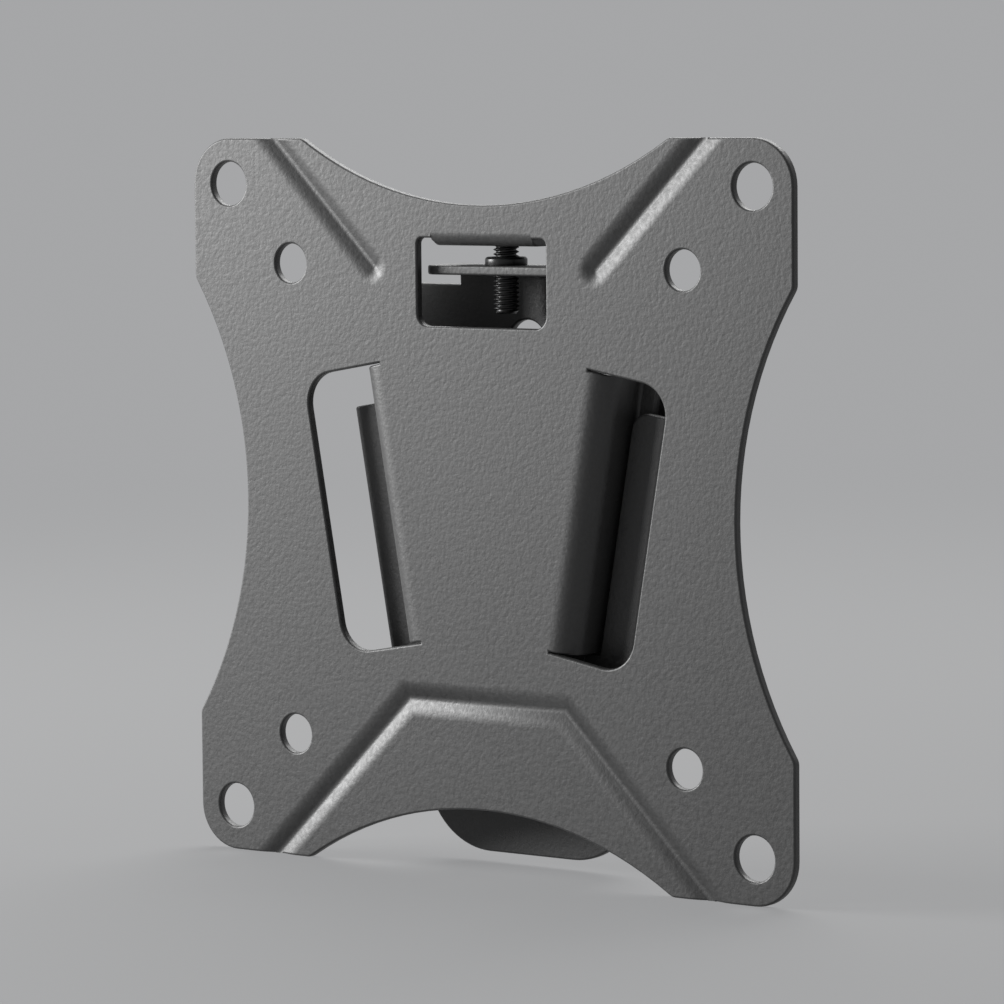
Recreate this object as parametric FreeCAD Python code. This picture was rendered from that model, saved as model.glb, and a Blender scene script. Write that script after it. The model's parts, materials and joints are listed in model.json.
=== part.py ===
import FreeCAD, Part
import math
import os

# Fixed wall mount for a flat screen: a wall plate with two tapered rails, a screen plate whose
# folded tabs hang in them, and a lock screw from the plate's lip into the wall plate's flange.
# Millimetres. The origin is on the wall plane, behind the centre of the screen's hole patterns:
# +X is to the viewer's right, +Y goes into the wall and +Z is up.

# Sheet and stack, measured from the wall plane outwards
sheet = 1.5
fold_r = 0.6                # inside radius of a fold
stack_depth = 13.5          # wall plane to the screen plate's front face
rail_room = 3.5             # clear depth inside a rail
hook_clear = 0.5            # behind a rail's lip, in front of the tab's lip
seat_clear = 0.3            # under what hangs or rests on another piece

# Screen plate: outline and hole patterns
pattern_outer = 100.0
pattern_inner = 75.0
hole_outer_d = 7.0
hole_inner_d = 6.2
corner_r = 7.2              # rim around each outer hole, from its centre
waist_half = 35.0           # half the chord of the curve cut into each side
waist_depth = 10.3
waist_edge_r = 2.0          # where that curve meets the straight stretch

# Screen plate: pressed stiffening beads
bead_half = 2.1
bead_depth = 0.95
bead_r = 1.2                # inside radius along the bead's floor
bead_foot_r = 2.7           # inside radius along its two sides
bead_angle = 45.0
top_bead_x = 21.2           # inner end of the two upper beads
top_bead_z = 37.2
low_bead_x = 15.0           # corner of the lower bead
low_bead_z = -30.3

# Screen plate: tapered slots, and the tabs folded back from their inner edges
taper = 10.0                # degrees from upright
tab_x = 20.2                # outer face of a tab at mid height
tab_fold_r = 2.5            # inside radius of the fold from plate to tab
slot_low = -22.5            # along the slanted edge
slot_high = 21.8
slot_width = 11.15          # from the tab's outer face
slot_corner_r = 5.0
tab_relief = 0.2            # between a tab's end and the slot's end
tab_lip = 3.1               # reach of the lip, from the tab's outer face
tab_lip_r = 2.2             # round corners of that lip

# Screen plate: window with the lip that carries the lock screw
window_half = 12.3
window_height = 12.5        # up to the underside of the lip
window_margin = 4.2         # sheet left between the lip's fold and the plate's upper edge
window_corner_r = 2.0
lip_half = 9.6
lip_reach = 11.0            # from the plate's front face
lip_corner_r = 2.5
relief_high = 1.2           # notches beside the lip, above its underside
relief_r = 1.0

# Wall plate: base
shoulder_drop = 3.3         # shoulders, below the top of the flange
shoulder_half = 24.0
shoulder_r = 4.0
tongue_half = 19.7
tongue_low = -55.5
tongue_r = 12.5
wall_hole_d = 7.0
wall_hole_high = 25.3
wall_hole_pitch = 65.0

# Wall plate: rails, placed from the tab's outer face, and the seats at their lower ends
rail_low = -27.4            # along the slanted edge
rail_high = 16.1
rail_gap = 0.7              # to the free edge of the rail's lip
rail_width = 8.3            # to the rail's outer face
rail_corner_r = 3.0
seat_reach = 0.7            # past the tab's inner face
seat_corner_r = 1.2

# Wall plate: flange for the lock screw
flange_half = 13.0
flange_front_gap = 1.0      # behind the screen plate
flange_corner_r = 2.0

# Lock screw and its threaded bush
screw_d = 4.0
screw_out = 6.75            # axis, from the wall plane
screw_clear = 0.3           # radial, in the lip and in the bush
screw_below = 6.0           # thread under the flange
tip_chamfer = 0.5
head_d = 7.6
head_h = 2.6
head_edge_r = 1.2
recess_span = 4.2
recess_width = 0.9
recess_depth = 1.4
bush_d = 6.6
bush_h = 1.3
bush_gap = 1.8              # from the bush's collar up to the lip
bush_spigot_d = 5.6
bush_edge = 0.3

# What follows from the sizes above
fold_outer_r = fold_r + sheet
tab_fold_outer_r = tab_fold_r + sheet
front_y = -stack_depth
back_y = front_y + sheet
base_y = -sheet
plate_half = pattern_outer / 2 + corner_r
rail_back_y = base_y - rail_room
rail_front_y = rail_back_y - sheet
tab_lip_front_y = rail_back_y + hook_clear
tab_low = slot_low + tab_relief
tab_high = slot_high - tab_relief
fold_line_z = plate_half - waist_depth - window_margin
window_high = fold_line_z - fold_outer_r
window_low = window_high - window_height
relief_top = window_high + relief_high
lip_top = window_high + sheet
flange_top = window_high - bush_gap - bush_h
flange_low = flange_top - sheet
base_top = flange_top - shoulder_drop
flange_front_y = back_y + flange_front_gap
screw_y = -screw_out
bore_r = screw_d / 2 + screw_clear

NEAR = 1e-4                 # points closer than this are one
ORIGIN = FreeCAD.Vector(0, 0, 0)
X_AXIS = FreeCAD.Vector(1, 0, 0)
Y_AXIS = FreeCAD.Vector(0, 1, 0)
Z_AXIS = FreeCAD.Vector(0, 0, 1)


def on_front(u, v):
    return FreeCAD.Vector(u, 0, v)


def on_top(u, v):
    return FreeCAD.Vector(u, v, 0)


def on_side(u, v):
    return FreeCAD.Vector(0, u, v)


def rounded_wire(corners, place):
    """Closed wire through corners (u, v, radius), each rounded by its own radius."""
    points = [FreeCAD.Vector(u, v, 0) for u, v, _ in corners]
    stops = []
    for i, (_, _, radius) in enumerate(corners):
        before = (points[i] - points[i - 1]).normalize()
        after = (points[(i + 1) % len(points)] - points[i]).normalize()
        turn = math.atan2(before.cross(after).z, before.dot(after))
        cut = radius * math.tan(abs(turn) / 2)
        inward = (after - before) * (1 / max((after - before).Length, NEAR))
        sink = radius * (1 / math.cos(turn / 2) - 1)
        stops.append([points[i] - before * cut, points[i] + inward * sink, points[i] + after * cut])
    edges = []
    for i, (start, middle, end) in enumerate(stops):
        last = stops[i - 1][2]
        if (start - last).Length > NEAR:
            edges.append(Part.makeLine(place(last.x, last.y), place(start.x, start.y)))
        if (end - start).Length > NEAR:
            knots = [place(p.x, p.y) for p in (start, middle, end)]
            edges.append(Part.Arc(*knots).toShape())
    return Part.Wire(edges)


def prism(corners, place, start, length):
    """Solid from a rounded outline, pushed along by length from start."""
    wire = rounded_wire(corners, place)
    wire.translate(start)
    return Part.Face(wire).extrude(length)


def upright_prism(corners, y_start, y_end):
    return prism(corners, on_front, Y_AXIS * y_start, Y_AXIS * (y_end - y_start))


def folded_strip(path, radii):
    """Outline of a folded sheet whose thickness lies to the left of the path, one inside radius a fold."""
    points = [FreeCAD.Vector(u, v, 0) for u, v in path]
    runs = [(b - a).normalize() for a, b in zip(points, points[1:])]
    lefts = [FreeCAD.Vector(-run.y, run.x, 0) for run in runs]
    near = [(points[0].x, points[0].y, 0)]
    first = points[0] + lefts[0] * sheet
    far = [(first.x, first.y, 0)]
    for i, inside in enumerate(radii, 1):
        leftward = runs[i - 1].cross(runs[i]).z > 0
        corner = points[i] + (lefts[i - 1] + lefts[i]) * sheet
        near.append((points[i].x, points[i].y, inside + sheet if leftward else inside))
        far.append((corner.x, corner.y, inside if leftward else inside + sheet))
    last = points[-1] + lefts[-1] * sheet
    near.append((points[-1].x, points[-1].y, 0))
    far.append((last.x, last.y, 0))
    return near + far[::-1]


def slanted(shape):
    """Right-hand copy of a shape made along the tab: X outwards from the tab's face, Z along it."""
    copy = shape.copy()
    copy.rotate(ORIGIN, Y_AXIS, taper)
    copy.translate(X_AXIS * tab_x)
    return copy


def both_sides(shape):
    return [shape, shape.mirror(ORIGIN, X_AXIS)]


def slanted_point(along, out):
    angle = math.radians(taper)
    x = tab_x + along * math.sin(angle) + out * math.cos(angle)
    return x, along * math.cos(angle) - out * math.sin(angle)


def round_edges(shape, axis, places, radius):
    """Fillets the straight edges along an axis that pass through the given points."""
    picked = []
    for edge in shape.Edges:
        ends = [v.Point for v in edge.Vertexes]
        if len(ends) != 2 or (ends[1] - ends[0]).cross(axis).Length > NEAR:
            continue
        for place in places:
            if (ends[0] - place).cross(axis).Length < NEAR:
                picked.append(edge)
    return shape.makeFillet(radius, picked)


def bead_tool(path, face_y, far_y, half, depth, foot_r, crest_r):
    """Bead-shaped bar along a path of points (x, z), mitred at its corners."""
    reach = half + foot_r * math.tan(math.atan2(depth, half) / 2)
    corners = [
        (-reach, far_y, 0), (reach, far_y, 0), (reach, face_y, 0), (half, face_y, foot_r),
        (0, face_y + depth, crest_r), (-half, face_y, foot_r), (-reach, face_y, 0),
    ]
    spine = Part.makePolygon([on_front(x, z) for x, z in path])
    start = on_front(*path[0])
    along = (on_front(*path[1]) - start).normalize()
    aside = Y_AXIS.cross(along)
    section = rounded_wire(corners, lambda u, y: start + aside * u + Y_AXIS * y)
    return spine, section, aside, start


def bead_bar(path, *section_sizes):
    spine, section, _, _ = bead_tool(path, *section_sizes)
    return spine.makePipeShell([section], True, False, 1)


def bead_end(path, *section_sizes):
    """Round end of a bead, turned about the path's first point."""
    _, section, aside, start = bead_tool(path, *section_sizes)
    box = section.BoundBox
    span = box.DiagonalLength
    one_side = Part.makeBox(span, box.YLength, span, FreeCAD.Vector(0, box.YMin, -span / 2))
    one_side.rotate(ORIGIN, Y_AXIS, -math.degrees(math.atan2(aside.z, aside.x)))
    one_side.translate(start)
    half_section = Part.Face(section).common(one_side)
    return half_section.revolve(start, Y_AXIS, 180)


def bead_paths():
    """Routes of the beads, all run out past the plate's edge."""
    run = plate_half
    rise = math.radians(bead_angle)
    aside = run * math.cos(rise)
    upright = run * math.sin(rise)
    right = [(top_bead_x, top_bead_z), (top_bead_x + aside, top_bead_z + upright)]
    lower = [
        (low_bead_x + aside, low_bead_z - upright), (low_bead_x, low_bead_z),
        (-low_bead_x, low_bead_z), (-low_bead_x - aside, low_bead_z - upright),
    ]
    return right, lower


def beads(*section_sizes):
    right, lower = bead_paths()
    bar = bead_bar(right, *section_sizes)
    end = bead_end(right, *section_sizes)
    return both_sides(bar) + both_sides(end) + [bead_bar(lower, *section_sizes)]


def plate_outline(y_start, y_end):
    """Square with round corners and a shallow curve cut into each side."""
    h = plate_half
    square = [(h, h, corner_r), (-h, h, corner_r), (-h, -h, corner_r), (h, -h, corner_r)]
    solid = upright_prism(square, y_start, y_end)
    waist_r = (waist_half ** 2 + waist_depth ** 2) / (2 * waist_depth)
    centre = plate_half - waist_depth + waist_r
    ends = []
    for step in range(4):
        turn = math.radians(90 * step)
        out = on_front(math.cos(turn), math.sin(turn))
        side = on_front(-math.sin(turn), math.cos(turn))
        axis_start = out * centre + Y_AXIS * y_start
        solid = solid.cut(Part.makeCylinder(waist_r, y_end - y_start, axis_start, Y_AXIS))
        ends += [out * plate_half + side * waist_half, out * plate_half - side * waist_half]
    return round_edges(solid, Y_AXIS, ends, waist_edge_r)


def pattern_holes(pitch, diameter):
    holes = []
    for x in (-pitch / 2, pitch / 2):
        for z in (-pitch / 2, pitch / 2):
            holes.append(Part.makeCylinder(diameter / 2, sheet, FreeCAD.Vector(x, front_y, z), Y_AXIS))
    return holes


def make_tab():
    """Tab folded back from the slot's inner edge, with a lip turned outwards."""
    lip_back_y = tab_lip_front_y + sheet
    path = [
        (tab_lip, lip_back_y), (-sheet, lip_back_y),
        (-sheet, back_y), (-tab_fold_outer_r - sheet, back_y),
    ]
    strip = folded_strip(path, [fold_r, tab_fold_r])
    tab = prism(strip, on_top, Z_AXIS * tab_low, Z_AXIS * (tab_high - tab_low))
    corners = [FreeCAD.Vector(tab_lip, 0, tab_low), FreeCAD.Vector(tab_lip, 0, tab_high)]
    return slanted(round_edges(tab, Y_AXIS, corners, tab_lip_r))


def make_slot():
    corners = [
        (-tab_fold_outer_r, slot_low, 0), (slot_width, slot_low, slot_corner_r),
        (slot_width, slot_high, slot_corner_r), (-tab_fold_outer_r, slot_high, 0),
    ]
    return slanted(upright_prism(corners, front_y, back_y))


def make_window_lip():
    """Lip folded back from the window's upper edge."""
    end_y = front_y + lip_reach
    strip = folded_strip([(end_y, lip_top), (back_y, lip_top), (back_y, fold_line_z + sheet)], [fold_r])
    lip = prism(strip, on_side, X_AXIS * -lip_half, X_AXIS * (2 * lip_half))
    corners = [FreeCAD.Vector(x, end_y, 0) for x in (-lip_half, lip_half)]
    return round_edges(lip, Z_AXIS, corners, lip_corner_r)


def make_screen_plate():
    slope = math.atan2(bead_depth, bead_half)
    thicker = sheet * (1 / math.cos(slope) - 1)
    wider = sheet * math.tan(slope / 2)
    ridges = beads(
        back_y, back_y - sheet / 2, bead_half + wider, bead_depth + thicker, bead_foot_r, bead_r + sheet)
    grooves = beads(front_y, front_y - sheet, bead_half, bead_depth, bead_foot_r + sheet, bead_r)
    ridge_room = plate_outline(front_y + sheet / 2, back_y + 2 * bead_depth)
    plate = plate_outline(front_y, back_y)
    plate = plate.fuse([ridge.common(ridge_room) for ridge in ridges])
    plate = plate.cut(grooves)
    window = [
        (-window_half, window_low, window_corner_r), (window_half, window_low, window_corner_r),
        (window_half, relief_top, relief_r), (-window_half, relief_top, relief_r),
    ]
    fold = [
        (-lip_half, window_high, 0), (lip_half, window_high, 0),
        (lip_half, fold_line_z, 0), (-lip_half, fold_line_z, 0),
    ]
    openings = [upright_prism(outline, front_y, back_y) for outline in (window, fold)]
    plate = plate.cut(both_sides(make_slot()) + openings)
    plate = plate.fuse(both_sides(make_tab()) + [make_window_lip()])
    holes = pattern_holes(pattern_outer, hole_outer_d) + pattern_holes(pattern_inner, hole_inner_d)
    holes.append(Part.makeCylinder(bore_r, sheet, FreeCAD.Vector(0, screw_y, window_high), Z_AXIS))
    return plate.cut(holes).removeSplitter()


def make_rail():
    """Rail folded forward and inward from the base, with the tab's seat at its lower end."""
    path = [
        (rail_gap, rail_front_y), (rail_width, rail_front_y),
        (rail_width, 0), (rail_width - fold_outer_r - sheet, 0),
    ]
    strip = folded_strip(path, [fold_r, fold_r])
    rail = prism(strip, on_top, Z_AXIS * rail_low, Z_AXIS * (rail_high - rail_low))
    rail = round_edges(rail, Y_AXIS, [FreeCAD.Vector(rail_gap, 0, rail_high)], rail_corner_r)
    seat_end = -sheet - seat_reach
    seat_top = tab_low - seat_clear
    seat = [
        (seat_end, rail_low, seat_corner_r), (rail_gap + sheet, rail_low, 0),
        (rail_gap + sheet, seat_top, 0), (seat_end, seat_top, seat_corner_r),
    ]
    return slanted(rail.fuse(upright_prism(seat, rail_front_y, rail_back_y)))


def make_flange():
    """Flange folded forward from the top of the base."""
    path = [(0, base_top - sheet), (0, flange_top), (flange_front_y, flange_top)]
    strip = folded_strip(path, [fold_r])
    flange = prism(strip, on_side, X_AXIS * -flange_half, X_AXIS * (2 * flange_half))
    corners = [FreeCAD.Vector(x, flange_front_y, 0) for x in (-flange_half, flange_half)]
    return round_edges(flange, Z_AXIS, corners, flange_corner_r)


def make_wall_plate():
    fold_line = rail_width - fold_outer_r
    right = [
        (shoulder_half, base_top, shoulder_r), (*slanted_point(rail_high, fold_line), 0),
        (*slanted_point(rail_low, fold_line), 0), (tongue_half, tongue_low, tongue_r),
    ]
    left = [(-x, z, radius) for x, z, radius in right[::-1]]
    plate = upright_prism(right + left, base_y, 0)
    plate = plate.fuse(both_sides(make_rail()) + [make_flange()])
    holes = [Part.makeCylinder(bush_spigot_d / 2, sheet, FreeCAD.Vector(0, screw_y, flange_low), Z_AXIS)]
    for z in (wall_hole_high, wall_hole_high - wall_hole_pitch):
        holes.append(Part.makeCylinder(wall_hole_d / 2, sheet, FreeCAD.Vector(0, base_y, z), Y_AXIS))
    return plate.cut(holes).removeSplitter()


def turned(corners, bottom):
    """Solid turned about the lock screw's axis from an outline of (radius, height, rounding)."""
    wire = rounded_wire(corners, lambda u, v: FreeCAD.Vector(u, screw_y, bottom + v))
    return Part.Face(wire).revolve(FreeCAD.Vector(0, screw_y, 0), Z_AXIS, 360)


def make_bush():
    """Threaded bush pressed into the flange, with a collar on top."""
    spigot_r = bush_spigot_d / 2
    top = sheet + bush_h
    corners = [
        (bore_r, 0, 0), (spigot_r, 0, 0), (spigot_r, sheet, 0), (bush_d / 2, sheet, 0),
        (bush_d / 2, top - bush_edge, 0), (bush_d / 2 - bush_edge, top, 0), (bore_r, top, 0),
    ]
    return turned(corners, flange_low)


def make_screw():
    """Pan-head screw with a cross recess."""
    bottom = flange_low - screw_below
    shank_top = lip_top + seat_clear - bottom
    top = shank_top + head_h
    shank_r = screw_d / 2
    corners = [
        (0, 0, 0), (shank_r - tip_chamfer, 0, 0), (shank_r, tip_chamfer, 0), (shank_r, shank_top, 0),
        (head_d / 2, shank_top, 0), (head_d / 2, top, head_edge_r), (0, top, 0),
    ]
    screw = turned(corners, bottom)
    floor_z = bottom + top - recess_depth
    for wide, deep in ((recess_span, recess_width), (recess_width, recess_span)):
        corner = FreeCAD.Vector(-wide / 2, screw_y - deep / 2, floor_z)
        screw = screw.cut(Part.makeBox(wide, deep, recess_depth, corner))
    return screw


def main():
    os.makedirs("parts", exist_ok=True)
    pieces = {
        "screen_plate": make_screen_plate(),
        "wall_plate": make_wall_plate(),
        "thread_bush": make_bush(),
        "lock_screw": make_screw(),
    }
    for name, shape in pieces.items():
        box = shape.optimalBoundingBox()
        print(name, "solids", len(shape.Solids), "valid", shape.isValid(), "volume %.1f" % shape.Volume,
              "x %.2f..%.2f y %.2f..%.2f z %.2f..%.2f" % (
                  box.XMin, box.XMax, box.YMin, box.YMax, box.ZMin, box.ZMax))
        shape.exportStep("parts/%s.step" % name)


main()
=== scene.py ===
# %% [markdown]
# A slim, fixed wall mount: two folded steel plates with a graphite powder coat, one hung in the other, and a
# lock screw that keeps them together. The packed model gives the solids at their real size. This lesson gives
# them what the solids leave out: the soft edges that a thick coat of paint leaves on cut sheet, a cut thread
# on the screw, the finishes, the light and the camera.

# %% Load the frame
import json
import math

import bmesh
import bpy
from mathutils import Matrix, Vector
from mathutils.bvhtree import BVHTree

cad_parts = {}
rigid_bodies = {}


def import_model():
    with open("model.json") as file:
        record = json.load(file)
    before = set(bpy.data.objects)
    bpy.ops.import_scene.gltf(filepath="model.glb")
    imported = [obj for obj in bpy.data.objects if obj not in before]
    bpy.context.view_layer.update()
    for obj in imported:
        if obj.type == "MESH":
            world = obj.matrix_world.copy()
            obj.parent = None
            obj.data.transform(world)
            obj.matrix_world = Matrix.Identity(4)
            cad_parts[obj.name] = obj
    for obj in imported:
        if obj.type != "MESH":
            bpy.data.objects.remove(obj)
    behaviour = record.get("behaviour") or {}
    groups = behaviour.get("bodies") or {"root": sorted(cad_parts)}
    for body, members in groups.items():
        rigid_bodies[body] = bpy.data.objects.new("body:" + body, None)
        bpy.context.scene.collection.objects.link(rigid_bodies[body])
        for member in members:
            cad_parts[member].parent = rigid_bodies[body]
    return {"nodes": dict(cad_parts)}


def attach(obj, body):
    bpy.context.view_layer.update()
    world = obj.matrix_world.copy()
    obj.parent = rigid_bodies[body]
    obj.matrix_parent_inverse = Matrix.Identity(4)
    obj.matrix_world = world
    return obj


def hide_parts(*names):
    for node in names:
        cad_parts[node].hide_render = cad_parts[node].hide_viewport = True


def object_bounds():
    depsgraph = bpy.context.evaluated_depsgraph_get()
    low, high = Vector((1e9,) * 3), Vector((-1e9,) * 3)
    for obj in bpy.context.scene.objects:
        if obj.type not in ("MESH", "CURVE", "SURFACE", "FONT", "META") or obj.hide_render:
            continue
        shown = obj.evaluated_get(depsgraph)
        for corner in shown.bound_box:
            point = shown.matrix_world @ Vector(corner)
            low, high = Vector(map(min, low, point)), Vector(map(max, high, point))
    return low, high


for leftover in list(bpy.data.objects):
    bpy.data.objects.remove(leftover)
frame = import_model()
cad_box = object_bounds()

# %% [markdown]
# Every finish is a small graph of shader nodes. Wiring them by hand is long and hard to read, so one class
# wraps an output socket and lets Python's own operators add the Math nodes. A single method adds any other
# node: its settings come first, because they can change which sockets it has, and then its inputs.

# %% Sockets that can be used in sums
class Wire:
    """An output socket of a node tree that takes part in Python expressions."""

    def __init__(self, tree, socket=None):
        self.tree = tree
        self.socket = socket

    def add(self, kind, settings=None, inputs=None, out=0):
        """Adds a node and returns one of its outputs."""
        node = self.tree.nodes.new(kind)
        for name, value in (settings or {}).items():
            setattr(node, name, value)
        for name, value in (inputs or {}).items():
            if isinstance(value, Wire):
                self.tree.links.new(value.socket, node.inputs[name])
            else:
                node.inputs[name].default_value = value
        return Wire(self.tree, node.outputs[out] if node.outputs else None)

    def maths(self, operation, first, second):
        return self.add("ShaderNodeMath", {"operation": operation}, {0: first, 1: second})

    def __add__(self, other):
        return self.maths("ADD", self, other)

    def __radd__(self, other):
        return self.maths("ADD", other, self)

    def __sub__(self, other):
        return self.maths("SUBTRACT", self, other)

    def __rsub__(self, other):
        return self.maths("SUBTRACT", other, self)

    def __mul__(self, other):
        return self.maths("MULTIPLY", self, other)

    def __rmul__(self, other):
        return self.maths("MULTIPLY", other, self)


print("operators", [name for name in vars(Wire) if name.startswith("__r")])

# %% [markdown]
# Both finishes are made of the same few things: a noise at the size of what it stands for, its swing about
# the middle, and a grey that runs from a dark to a pale one. The noise reads Object coordinates, so it stays
# on the piece when the piece moves.

# %% What the finishes share
MM = 0.001
MIDDLE = 0.5
MIX_DARK, MIX_PALE, MIX_COLOUR = 6, 7, 2    # a Mix node's colour sockets come after its other kinds


def new_finish(name):
    """An empty node material, and a wire to start its expressions from."""
    material = bpy.data.materials.new(name)
    material.use_nodes = True
    material.node_tree.nodes.clear()
    return material, Wire(material.node_tree)


def noise(start, place, size, detail=2.0):
    """Soft noise whose lumps are about size metres across."""
    inputs = {"Vector": place, "Scale": 1 / size, "Detail": detail}
    return start.add("ShaderNodeTexNoise", None, inputs, "Fac")


def swing(value, amount):
    """How far a noise is from its middle, times an amount."""
    return (value - MIDDLE) * amount


def grey_between(start, factor, dark, pale):
    """A grey that runs from dark to pale as the factor goes from 0 to 1."""
    ends = {MIX_DARK: (dark, dark, dark, 1.0), MIX_PALE: (pale, pale, pale, 1.0)}
    return start.add("ShaderNodeMix", {"data_type": "RGBA"}, {"Factor": factor, **ends}, MIX_COLOUR)


def show(start, shader):
    """Ends a finish: the shader goes to the surface."""
    start.add("ShaderNodeOutputMaterial", None, {"Surface": shader})


print("shared", [helper.__name__ for helper in (new_finish, noise, swing, grey_between, show)])

# %% [markdown]
# Graphite powder coat is sprayed on as dust and melted, so it dries to fine lumps under a millimetre across.
# They break up the gloss more than they change the colour, so the same noise drives a low bump, a little
# roughness and a little tone. A second, slow noise keeps a wide flat face from looking like one flat fill.

# %% The powder coat
COAT_DARK = 0.024
COAT_PALE = 0.046
COAT_ROUGH = 0.5
COAT_GLOSS = 0.65
COAT_LUMP = 0.06 * MM
GRAIN = 0.7 * MM
SPECK = 0.3 * MM
CLOUD = 24 * MM
GRAIN_SHARE = 0.8
LUMP_TONE = 1.5
CLOUD_TONE = 0.3
LUMP_ROUGH = 0.3


def powder_coat():
    material, start = new_finish("graphite_coat")
    place = start.add("ShaderNodeTexCoord", out="Object")
    grain = noise(start, place, GRAIN)
    speck = noise(start, place, SPECK)
    cloud = noise(start, place, CLOUD)
    lump = grain * GRAIN_SHARE + speck * (1 - GRAIN_SHARE)
    tone = swing(lump, LUMP_TONE) + swing(cloud, CLOUD_TONE) + MIDDLE
    bump = start.add("ShaderNodeBump", None, {"Strength": 1.0, "Distance": COAT_LUMP, "Height": lump})
    show(start, start.add("ShaderNodeBsdfPrincipled", None, {
        "Base Color": grey_between(start, tone, COAT_DARK, COAT_PALE),
        "Roughness": COAT_ROUGH + swing(lump, LUMP_ROUGH),
        "Specular IOR Level": COAT_GLOSS,
        "Normal": bump,
    }))
    return material


graphite_coat = powder_coat()
print("finish", graphite_coat.name)

# %% [markdown]
# The screw and the bush are black-finished steel: nearly black, a little shiny, with a fine uneven stain
# where the finish took more or less. The parts are small, so one noise with more detail is enough.

# %% Black-finished steel
STEEL_DARK = 0.012
STEEL_PALE = 0.035
STEEL_ROUGH = 0.34
STEEL_METAL = 0.35
STAIN = 1.6 * MM
STAIN_DETAIL = 4.0
STAIN_ROUGH = 0.25


def blackened_steel():
    material, start = new_finish("black_steel")
    place = start.add("ShaderNodeTexCoord", out="Object")
    stain = noise(start, place, STAIN, STAIN_DETAIL)
    show(start, start.add("ShaderNodeBsdfPrincipled", None, {
        "Base Color": grey_between(start, stain, STEEL_DARK, STEEL_PALE),
        "Roughness": STEEL_ROUGH + swing(stain, STAIN_ROUGH),
        "Metallic": STEEL_METAL,
    }))
    return material


black_steel = blackened_steel()
print("finish", black_steel.name)

# %% [markdown]
# A blanked sheet has crisp edges, but paint flows back from them and leaves each a soft round. Those rounds
# catch the light as thin bright lines, and they are most of what makes a plate look real. A Bevel modifier
# limited by angle could make them, but it can't tell where a face is too narrow for the round. Here the
# node's own mesh stays as it is: a copy is merged, its flat triangles are joined, and a bevel runs along the
# edges where two faces meet at a sharp angle. Where there is no room for the round, as at the ends of the
# window's lip, the edge stays crisp, because rounds that overlap would fold the mesh.

# %% Soft edges on a copy of a solid
SHARP = math.radians(35)
FLAT = math.radians(0.5)
WELD = 0.001 * MM
ROOM = 0.02 * MM


def merged_copy(node):
    """A bmesh of a node's solid, with its triangles joined along flat faces."""
    mesh = bmesh.new()
    mesh.from_mesh(frame["nodes"][node].data)
    bmesh.ops.remove_doubles(mesh, verts=mesh.verts, dist=WELD)
    bmesh.ops.dissolve_limit(mesh, angle_limit=FLAT, verts=mesh.verts, edges=mesh.edges)
    return mesh


def has_room(tree, edge, radius):
    """True where both faces beside an edge reach as far as the round will."""
    middle = (edge.verts[0].co + edge.verts[1].co) / 2
    for loop in edge.link_loops:
        along = loop.link_loop_next.vert.co - loop.vert.co
        inward = loop.face.normal.cross(along).normalized()
        location, normal, index, distance = tree.find_nearest(middle + inward * radius)
        if distance > ROOM:
            return False
    return True


def soften(mesh, radius, steps):
    """Rounds the sharp outside edges, and leaves crisp the few with no room for a round."""
    mesh.normal_update()
    tree = BVHTree.FromBMesh(mesh)
    sharp = [edge for edge in mesh.edges if edge.is_convex and edge.calc_face_angle() >= SHARP]
    tight = {edge for edge in sharp if not has_room(tree, edge, radius)}
    corners = {vert for edge in tight for vert in edge.verts}
    rounded = [edge for edge in sharp if edge not in tight
               and (edge.calc_length() > radius or corners.isdisjoint(edge.verts))]
    bmesh.ops.bevel(mesh, geom=rounded, offset=radius, offset_type="OFFSET", segments=steps,
                    profile=0.5, affect="EDGES", clamp_overlap=False, material=-1)
    return "%d of %d" % (len(rounded), len(sharp))


print("rounds where faces meet at", round(math.degrees(SHARP)), "degrees or more")

# %% [markdown]
# A finished piece rides on the body of the node that it stands for, and takes the node's finish. It is
# shaded smooth, with normals that follow the larger faces, so that the flats stay flat up to their rounds.
# An edge that is still sharp is marked, and the shading stops there.

# %% From a bmesh to a piece of the mount
CREASE = math.radians(50)


def put_in_scene(name, data):
    thing = bpy.data.objects.new(name, data)
    bpy.context.scene.collection.objects.link(thing)
    return thing


def mesh_object(mesh, name, finish):
    """An object made of a bmesh, which is freed."""
    data = bpy.data.meshes.new(name)
    mesh.to_mesh(data)
    mesh.free()
    data.materials.append(finish)
    return put_in_scene(name, data)


def settle(mesh, name, node, body, finish):
    """Turns a bmesh into a finished piece that stands for a node and rides on a body."""
    for face in mesh.faces:
        face.smooth = True
    for edge in mesh.edges:
        edge.smooth = edge.calc_face_angle(math.pi) < CREASE
    piece = mesh_object(mesh, name, finish)
    weighted = piece.modifiers.new("flat faces stay flat", "WEIGHTED_NORMAL")
    weighted.keep_sharp = True
    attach(piece, body)
    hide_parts(node)
    return piece


print("shading stops at", round(math.degrees(CREASE)), "degrees")

# %% [markdown]
# The screen plate hangs by its two slanted tabs in the rails of the wall plate. Each is folded from one sheet.
# They could be modelled afresh, but their solids already have every fold, bead and hole, so the rounds and
# the coat are all that they need.

# %% The two plates
PAINT_ROUND = 0.36 * MM
PAINT_STEPS = 4

for node, body in (("screen_plate", "screen"), ("wall_plate", "wall")):
    mesh = merged_copy(node)
    rounded = soften(mesh, PAINT_ROUND, PAINT_STEPS)
    piece = settle(mesh, node + "_painted", node, body, graphite_coat)
    print(piece.name, "edges rounded", rounded, "faces", len(piece.data.polygons))

# %% [markdown]
# The bush is a small turned collar, pressed into the wall plate's flange, that the lock screw runs into. A
# lathe leaves only a fine broken edge, so its round is much smaller than the paint's.

# %% The thread bush
TURNED_ROUND = 0.1 * MM
TURNED_STEPS = 2

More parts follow.
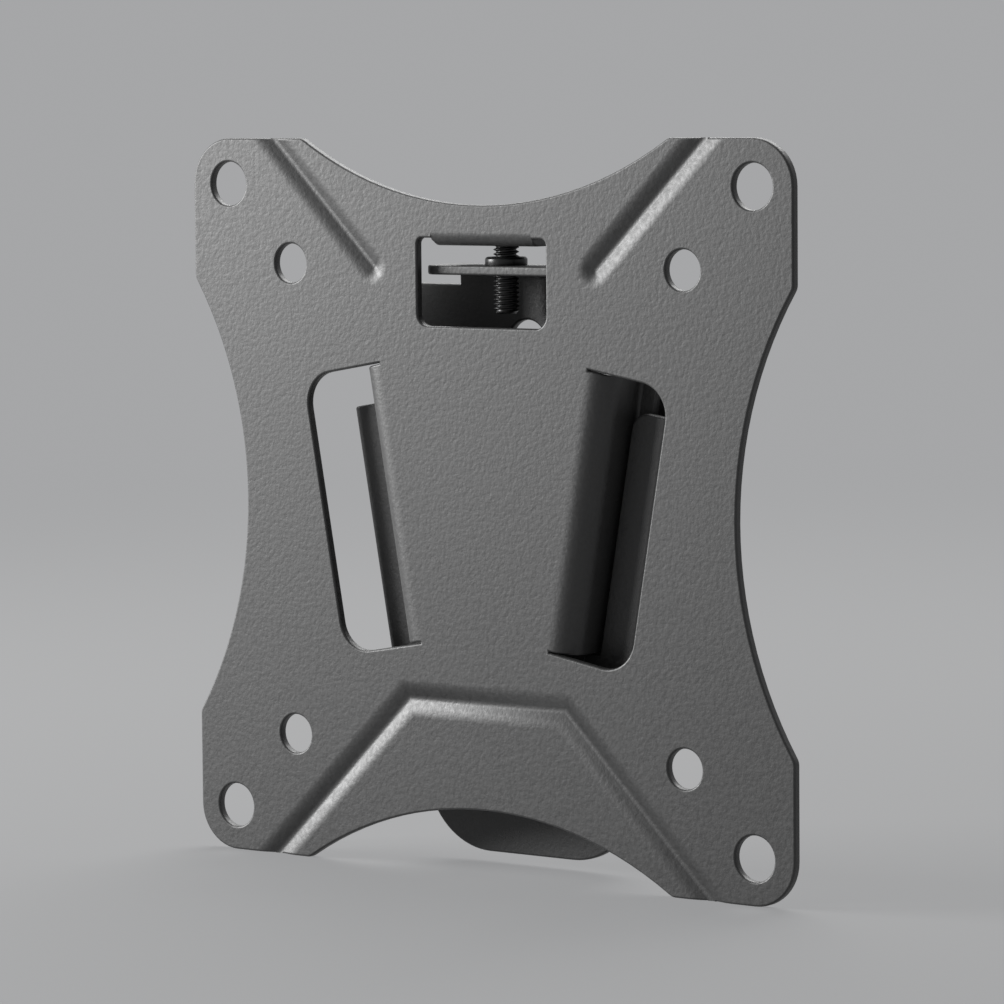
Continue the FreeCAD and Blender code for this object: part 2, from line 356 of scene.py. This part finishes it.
mesh = merged_copy("thread_bush")
soften(mesh, TURNED_ROUND, TURNED_STEPS)
bush = settle(mesh, "thread_bush_turned", "thread_bush", "wall", black_steel)
print(bush.name, "faces", len(bush.data.polygons))

# %% [markdown]
# The lock screw's solid has a plain shank. Its sizes are read from that solid, so that the thread made next
# fits it: the axis, the head, the shank and the small end of the chamfered tip.

# %% The lock screw's sizes
PITCH = 0.7 * MM
HEAD_SIDE = 0.99

points = [vert.co for vert in frame["nodes"]["lock_screw"].data.vertices]
axis_y = (min(p.y for p in points) + max(p.y for p in points)) / 2


def off_axis(point):
    return math.hypot(point.x, point.y - axis_y)


tip_z = min(p.z for p in points)
head_r = max(abs(p.x) for p in points)
head_z = min(p.z for p in points if abs(p.x) > HEAD_SIDE * head_r)
neck_z = head_z - PITCH
shank_r = max(off_axis(p) for p in points if p.z < neck_z)
tip_r = max(off_axis(p) for p in points if p.z < tip_z + WELD)
print("shank", round(shank_r / MM, 2), "head", round(head_r / MM, 2), "tip", round(tip_r / MM, 2), "mm")

# %% [markdown]
# The thread shows in the window, so it is cut as a real helix and not left to a bump. One upright row of
# points follows the thread's flanks over the whole shank, and a full spin that climbs one pitch sweeps it
# round. Each turn then ends where the next one starts, and welding makes one continuous surface. Two planes
# trim it, and the tip gets its chamfer.

# %% The thread
THREAD_DEPTH = 0.42 * MM
THREAD_STEPS = 36
FLANK = ((0.0, 1.0), (0.125, 1.0), (0.4375, 0.0), (0.6875, 0.0))    # along the pitch, up from the root
SPARE_TURNS = 2
SPARE_BELOW = 1.5
ON_PLANE = 0.0001 * MM


def trim(mesh, height, outward):
    """Cuts off what lies past a height: above it for 1, below it for -1."""
    bmesh.ops.bisect_plane(mesh, geom=mesh.verts[:] + mesh.edges[:] + mesh.faces[:], dist=ON_PLANE,
                           plane_co=(0, 0, height), plane_no=(0, 0, outward), clear_outer=True)


def cut_thread(bottom, top):
    """An open tube with a helical thread between two heights."""
    mesh = bmesh.new()
    turns = math.ceil((top - bottom) / PITCH) + SPARE_TURNS
    row = []
    for turn in range(turns):
        for along, high in FLANK:
            out = shank_r - THREAD_DEPTH * (1 - high)
            row.append(mesh.verts.new((out, axis_y, bottom + (turn - SPARE_BELOW + along) * PITCH)))
    chain = [mesh.edges.new(pair) for pair in zip(row, row[1:])]
    bmesh.ops.spin(mesh, geom=row + chain, cent=(0, axis_y, 0), axis=(0, 0, 1),
                   dvec=(0, 0, PITCH / THREAD_STEPS), angle=2 * math.pi, steps=THREAD_STEPS)
    bmesh.ops.remove_doubles(mesh, verts=mesh.verts, dist=WELD)
    trim(mesh, bottom, -1)
    trim(mesh, top, 1)
    for vert in mesh.verts:
        inward = min(1, (tip_r + vert.co.z - bottom) / off_axis(vert.co))
        vert.co.x *= inward
        vert.co.y = axis_y + (vert.co.y - axis_y) * inward
    return mesh


thread = cut_thread(tip_z, neck_z - PITCH)
print("thread faces", len(thread.faces), "length", round((neck_z - PITCH - tip_z) / MM, 2), "mm")

# %% [markdown]
# The head, with its cross recess, comes from the solid. Its shank is cut off below the head, the thread takes
# its place, a bridge joins their two rims, and the tip is closed, so the screw is one closed skin.

# %% The lock screw
def rim(mesh, height):
    """The open edges at one height."""
    return [edge for edge in mesh.edges
            if edge.is_boundary and all(abs(vert.co.z - height) < WELD for vert in edge.verts)]


mesh = merged_copy("lock_screw")
soften(mesh, TURNED_ROUND, TURNED_STEPS)
trim(mesh, neck_z, -1)
tube = bpy.data.meshes.new("thread")
thread.to_mesh(tube)
thread.free()
mesh.from_mesh(tube)
bmesh.ops.bridge_loops(mesh, edges=rim(mesh, neck_z) + rim(mesh, neck_z - PITCH))
bmesh.ops.holes_fill(mesh, edges=rim(mesh, tip_z))
bmesh.ops.recalc_face_normals(mesh, faces=mesh.faces)
open_edges = sum(not edge.is_manifold for edge in mesh.edges)
screw = settle(mesh, "lock_screw_cut", "lock_screw", "screw", black_steel)
print(screw.name, "faces", len(screw.data.polygons), "open edges", open_edges)

# %% [markdown]
# The mount stands on a pale floor that fades into a pale background, so no horizon shows from any side. The
# background is a colour that the camera and the gloss see, and not more light on the mount: every other ray
# finds only a dim, even world. Near the mount the floor is partly plain paper, and keeps the shadow.

# %% Floor and background
BACKGROUND = (0.38, 0.383, 0.39, 1.0)
AMBIENT = 0.12
PAPER = (0.30, 0.30, 0.30, 1.0)
PAPER_GLOW = 0.72
FLOOR_RADIUS = 3.0
FLOOR_SIDES = 96
FADE_START = 0.2
FADE_END = 0.9


def seen_ray(start):
    """One for rays that show the background: from the camera, or off gloss and through glass."""
    camera_ray = start.add("ShaderNodeLightPath", out="Is Camera Ray")
    outputs = camera_ray.socket.node.outputs
    glossy = Wire(start.tree, outputs["Is Glossy Ray"])
    through = Wire(start.tree, outputs["Is Transmission Ray"])
    return start.maths("MAXIMUM", camera_ray, start.maths("MAXIMUM", glossy, through))


def pale_floor():
    material, start = new_finish("floor_paper")
    place = start.add("ShaderNodeTexCoord", out="Object")
    far = start.add("ShaderNodeVectorMath", {"operation": "LENGTH"}, {0: place}, "Value")
    fade = start.add("ShaderNodeMapRange", {"interpolation_type": "SMOOTHSTEP"}, {
        "Value": far, "From Min": FADE_START, "From Max": FADE_END, "To Min": PAPER_GLOW, "To Max": 1.0})
    paper = start.add("ShaderNodeBsdfDiffuse", None, {"Color": PAPER})
    glow = start.add("ShaderNodeEmission", None, {"Color": BACKGROUND})
    show(start, start.add("ShaderNodeMixShader", None, {0: fade * seen_ray(start), 1: paper, 2: glow}))
    return material


lowest = cad_box[0][2]
mesh = bmesh.new()
bmesh.ops.create_circle(mesh, cap_ends=True, segments=FLOOR_SIDES, radius=FLOOR_RADIUS)
bmesh.ops.translate(mesh, verts=mesh.verts, vec=(0, 0, lowest))
floor = mesh_object(mesh, "floor", pale_floor())

world = bpy.data.worlds.new("studio")
bpy.context.scene.world = world
world.use_nodes = True
world.node_tree.nodes.clear()
sky = Wire(world.node_tree)
seen = seen_ray(sky)
strength = seen + (1 - seen) * AMBIENT
backdrop = sky.add("ShaderNodeBackground", None, {"Color": BACKGROUND, "Strength": strength})
sky.add("ShaderNodeOutputWorld", None, {"Surface": backdrop})
print("floor at", round(lowest / MM, 2), "mm")

# %% [markdown]
# The key light is a soft box well to the left and a little above, because light that comes from the side
# shows a pressed bead: one flank of the groove turns to the light and the other away from it. A second soft
# box above and behind is for the back of the mount, and keeps off the front.

# %% Lights
TARGET = Vector((0, -13.5 * MM, 0))
LIGHTS = (
    # name, place, width, height, power
    ("key", (-0.588, -0.340, 0.180), 0.40, 0.28, 8.8),
    ("back", (-0.20, 0.45, 0.75), 0.80, 0.80, 13.0),
)


def soft_box(name, place, width, height, power):
    """A rectangular area light at a place in metres, turned to the mount."""
    lamp = bpy.data.lights.new(name, "AREA")
    lamp.shape = "RECTANGLE"
    lamp.size = width
    lamp.size_y = height
    lamp.energy = power
    light = put_in_scene(name, lamp)
    light.location = Vector(place)
    light.rotation_euler = (TARGET - light.location).to_track_quat("-Z", "Y").to_euler()
    light.visible_camera = False
    return light


print("lights", [soft_box(*light).name for light in LIGHTS])

# %% [markdown]
# The camera stands where the picture was taken from: to the right of the mount, a little above it, and
# close enough for a clear perspective. A longer lens fills the frame without changing that perspective.

# %% Camera
CAMERA_PLACE = Vector((440.46, -604.24, 63.65)) * MM
CAMERA_AZIMUTH = math.radians(36.472)
CAMERA_ELEVATION = math.radians(4.846)
CAMERA_ROLL = math.radians(-0.474)
LENS = 68.77
CLOSER = 2.5
NEAREST = 0.01

aside = Vector((math.cos(CAMERA_AZIMUTH), math.sin(CAMERA_AZIMUTH), 0))
behind = Vector((math.sin(CAMERA_AZIMUTH) * math.cos(CAMERA_ELEVATION),
                 -math.cos(CAMERA_AZIMUTH) * math.cos(CAMERA_ELEVATION), math.sin(CAMERA_ELEVATION)))
above = behind.cross(aside)
right = aside * math.cos(CAMERA_ROLL) + above * math.sin(CAMERA_ROLL)
up = above * math.cos(CAMERA_ROLL) - aside * math.sin(CAMERA_ROLL)
lens = bpy.data.cameras.new("camera")
lens.lens = LENS * CLOSER
lens.clip_start = NEAREST
camera = put_in_scene("camera", lens)
camera.matrix_world = Matrix((right, up, behind)).transposed().to_4x4()
camera.location = CAMERA_PLACE
bpy.context.scene.camera = camera
bpy.context.scene.view_settings.view_transform = "Standard"
print("camera at", [round(c / MM, 1) for c in camera.location], "mm")

# %% [markdown]
